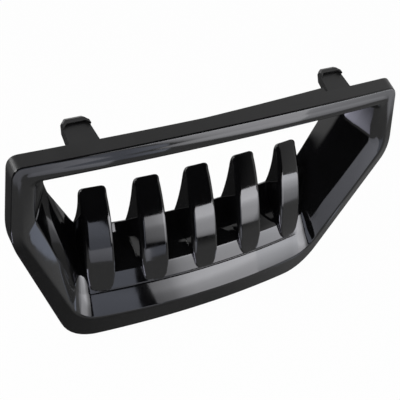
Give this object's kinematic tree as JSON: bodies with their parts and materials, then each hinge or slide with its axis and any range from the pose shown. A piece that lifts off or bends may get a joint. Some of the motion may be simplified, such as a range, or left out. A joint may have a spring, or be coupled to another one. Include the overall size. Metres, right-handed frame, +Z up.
{
  "type": "bumper grille insert",
  "caption": "Gloss black hexagonal bumper grille insert with hollow upright fins in a funnel-shaped surround, clipped in by two tongues on its upper flange.",
  "frame": {"origin": "rear edge of the lower flange, in the middle of the part, where it seats in the bumper's opening", "axes": "+X across the vehicle towards the wide end of the ledge behind the upper flange, +Y rearward into the bumper, +Z up as fitted"},
  "size_m": [0.3632, 0.0544, 0.1928],
  "materials": {
    "gloss_black_moulding": "injection moulded black plastic, high gloss on the visible face, satin on the flange and tongues"
  },
  "bodies": {
    "root": {"grille_moulding": "gloss_black_moulding"}
  },
  "joints": []
}
